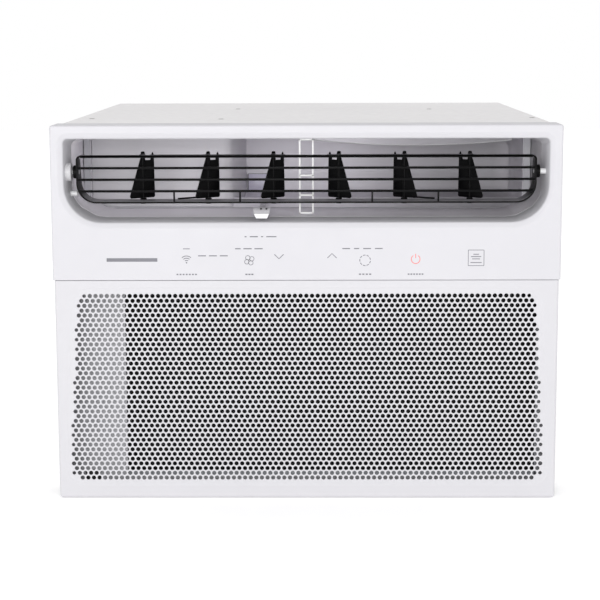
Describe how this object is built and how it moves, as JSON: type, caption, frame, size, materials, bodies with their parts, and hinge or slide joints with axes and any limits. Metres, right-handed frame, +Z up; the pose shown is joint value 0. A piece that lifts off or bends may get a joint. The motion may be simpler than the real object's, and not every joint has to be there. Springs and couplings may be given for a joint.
{
  "type": "window air conditioner",
  "caption": "Window air conditioner: sheet-steel cabinet, moulded front with air outlet, tilting louvre with turning vanes, perforated intake door, side filter, fans, coils and compressor.",
  "frame": {"origin": "on the sill plane under the middle of the unit's overall width and depth", "axes": "+X to the unit's right as seen from the room, +Y from the room towards outdoors, +Z up"},
  "size_m": [0.48, 0.53, 0.358],
  "materials": {
    "bezel_white": "satin moulded plastic",
    "door_white": "satin moulded plastic",
    "pin_white": "satin moulded plastic",
    "duct_grey": "matte moulded plastic",
    "louvre_black": "satin moulded plastic",
    "cabinet_paint": "satin powder paint",
    "galvanised_steel": "galvanised, dull spangle",
    "coil_aluminium": "bare fins",
    "copper_tube": "bare copper, slightly dulled",
    "compressor_black": "black enamel",
    "motor_steel": "plain steel",
    "fan_plastic": "matte moulded plastic",
    "scroll_foam": "white expanded foam",
    "black_rubber": "matte",
    "filter_frame_grey": "matte moulded plastic",
    "filter_mesh_black": "fine woven mesh",
    "board_green": "solder-masked board",
    "screw_steel": "zinc plated"
  },
  "bodies": {
    "cabinet": {"base_pan": "galvanised_steel", "cabinet_shell": "cabinet_paint", "front_bezel": "bezel_white", "outlet_duct": "duct_grey", "duct_strut": "pin_white", "display_board": "board_green", "evaporator_coil": "coil_aluminium", "control_box": "pin_white", "control_box_cover": "pin_white", "run_capacitor": "motor_steel", "room_thermistor": "copper_tube", "bulkhead": "galvanised_steel", "blower_scroll": "scroll_foam", "fan_motor": "motor_steel", "motor_bracket": "galvanised_steel", "fan_shroud": "fan_plastic", "condenser_coil": "coil_aluminium", "rear_grille": "cabinet_paint", "compressor": "compressor_black", "compressor_grommet_1": "black_rubber", "compressor_grommet_2": "black_rubber", "compressor_grommet_3": "black_rubber", "accumulator": "compressor_black", "suction_line": "copper_tube", "compressor_inlet": "copper_tube", "discharge_line": "copper_tube", "liquid_line": "copper_tube", "capillary_tube": "copper_tube", "cord_gland": "black_rubber", "drain_plug": "black_rubber", "louvre_pin_left": "pin_white", "louvre_pin_right": "pin_white", "louvre_rest_peg": "pin_white", "top_screw_1": "screw_steel", "top_screw_2": "screw_steel", "top_screw_3": "screw_steel", "top_screw_4": "screw_steel", "top_screw_5": "screw_steel"},
    "door": {"intake_door": "door_white"},
    "filter": {"air_filter_frame": "filter_frame_grey", "filter_mesh": "filter_mesh_black"},
    "louvre": {"louvre_frame": "louvre_black"},
    "tie_rod_left": {"tie_rod_left": "louvre_black"},
    "tie_rod_right": {"tie_rod_right": "louvre_black"},
    "fan_rotor": {"blower_wheel": "fan_plastic", "motor_shaft": "screw_steel", "condenser_fan": "fan_plastic"},
    "vent_lever": {"vent_lever": "pin_white"},
    "vent_damper": {"vent_damper": "pin_white"},
    "vane_1": {"vane_1": "louvre_black"},
    "vane_2": {"vane_2": "louvre_black"},
    "vane_3": {"vane_3": "louvre_black"},
    "vane_4": {"vane_4": "louvre_black"},
    "vane_5": {"vane_5": "louvre_black"},
    "vane_6": {"vane_6": "louvre_black"}
  },
  "joints": [
    {"name": "door_hinge", "type": "hinge", "parent": "cabinet", "child": "door", "pos_m": [0, -0.258, 0.006], "axis": [1, 0, 0], "range_deg": [0, 35]},
    {"name": "filter_slide", "type": "slide", "parent": "cabinet", "child": "filter", "axis": [1, 0, 0], "range_m": [0, 0.38]},
    {"name": "louvre_tilt", "type": "hinge", "parent": "cabinet", "child": "louvre", "pos_m": [0, -0.249, 0.3135], "axis": [1, 0, 0], "range_deg": [-20, 20]},
    {"name": "vane_1_swing", "type": "hinge", "parent": "louvre", "child": "vane_1", "pos_m": [-0.1555, -0.237, 0.3075], "axis": [0, 0, 1], "range_deg": [0, 102]},
    {"name": "vane_2_swing", "type": "hinge", "parent": "louvre", "child": "vane_2", "pos_m": [-0.0933, -0.237, 0.3075], "axis": [0, 0, 1], "range_deg": [0, 102]},
    {"name": "vane_3_swing", "type": "hinge", "parent": "louvre", "child": "vane_3", "pos_m": [-0.0311, -0.237, 0.3075], "axis": [0, 0, 1], "range_deg": [0, 102]},
    {"name": "vane_4_swing", "type": "hinge", "parent": "louvre", "child": "vane_4", "pos_m": [0.0311, -0.237, 0.3075], "axis": [0, 0, 1], "range_deg": [-102, 0]},
    {"name": "vane_5_swing", "type": "hinge", "parent": "louvre", "child": "vane_5", "pos_m": [0.0933, -0.237, 0.3075], "axis": [0, 0, 1], "range_deg": [-102, 0]},
    {"name": "vane_6_swing", "type": "hinge", "parent": "louvre", "child": "vane_6", "pos_m": [0.1555, -0.237, 0.3075], "axis": [0, 0, 1], "range_deg": [-102, 0]},
    {"name": "tie_rod_left_pivot", "type": "hinge", "parent": "vane_2", "child": "tie_rod_left", "pos_m": [-0.08475, -0.23008, 0.327], "axis": [0, 0, 1], "range_deg": [-102, 0]},
    {"name": "tie_rod_right_pivot", "type": "hinge", "parent": "vane_5", "child": "tie_rod_right", "pos_m": [0.08475, -0.23008, 0.327], "axis": [0, 0, 1], "range_deg": [0, 102]},
    {"name": "fan_spin", "type": "hinge", "parent": "cabinet", "child": "fan_rotor", "pos_m": [0.045, 0, 0.15], "axis": [0, 1, 0], "continuous": true},
    {"name": "vent_pull", "type": "slide", "parent": "cabinet", "child": "vent_lever", "axis": [0, -1, 0], "range_m": [0, 0.018]},
    {"name": "damper_hinge", "type": "hinge", "parent": "cabinet", "child": "vent_damper", "pos_m": [-0.0495, -0.068, 0.2965], "axis": [1, 0, 0], "range_deg": [-50.1, 0]}
  ],
  "couplings": [
    {"joint": "vane_1_swing", "follows": "vane_2_swing", "ratio": 1},
    {"joint": "vane_3_swing", "follows": "vane_2_swing", "ratio": 1},
    {"joint": "tie_rod_left_pivot", "follows": "vane_2_swing", "ratio": -1},
    {"joint": "vane_4_swing", "follows": "vane_5_swing", "ratio": 1},
    {"joint": "vane_6_swing", "follows": "vane_5_swing", "ratio": 1},
    {"joint": "tie_rod_right_pivot", "follows": "vane_5_swing", "ratio": -1},
    {"joint": "damper_hinge", "follows": "vent_pull", "rad_per_m": -48.4}
  ]
}
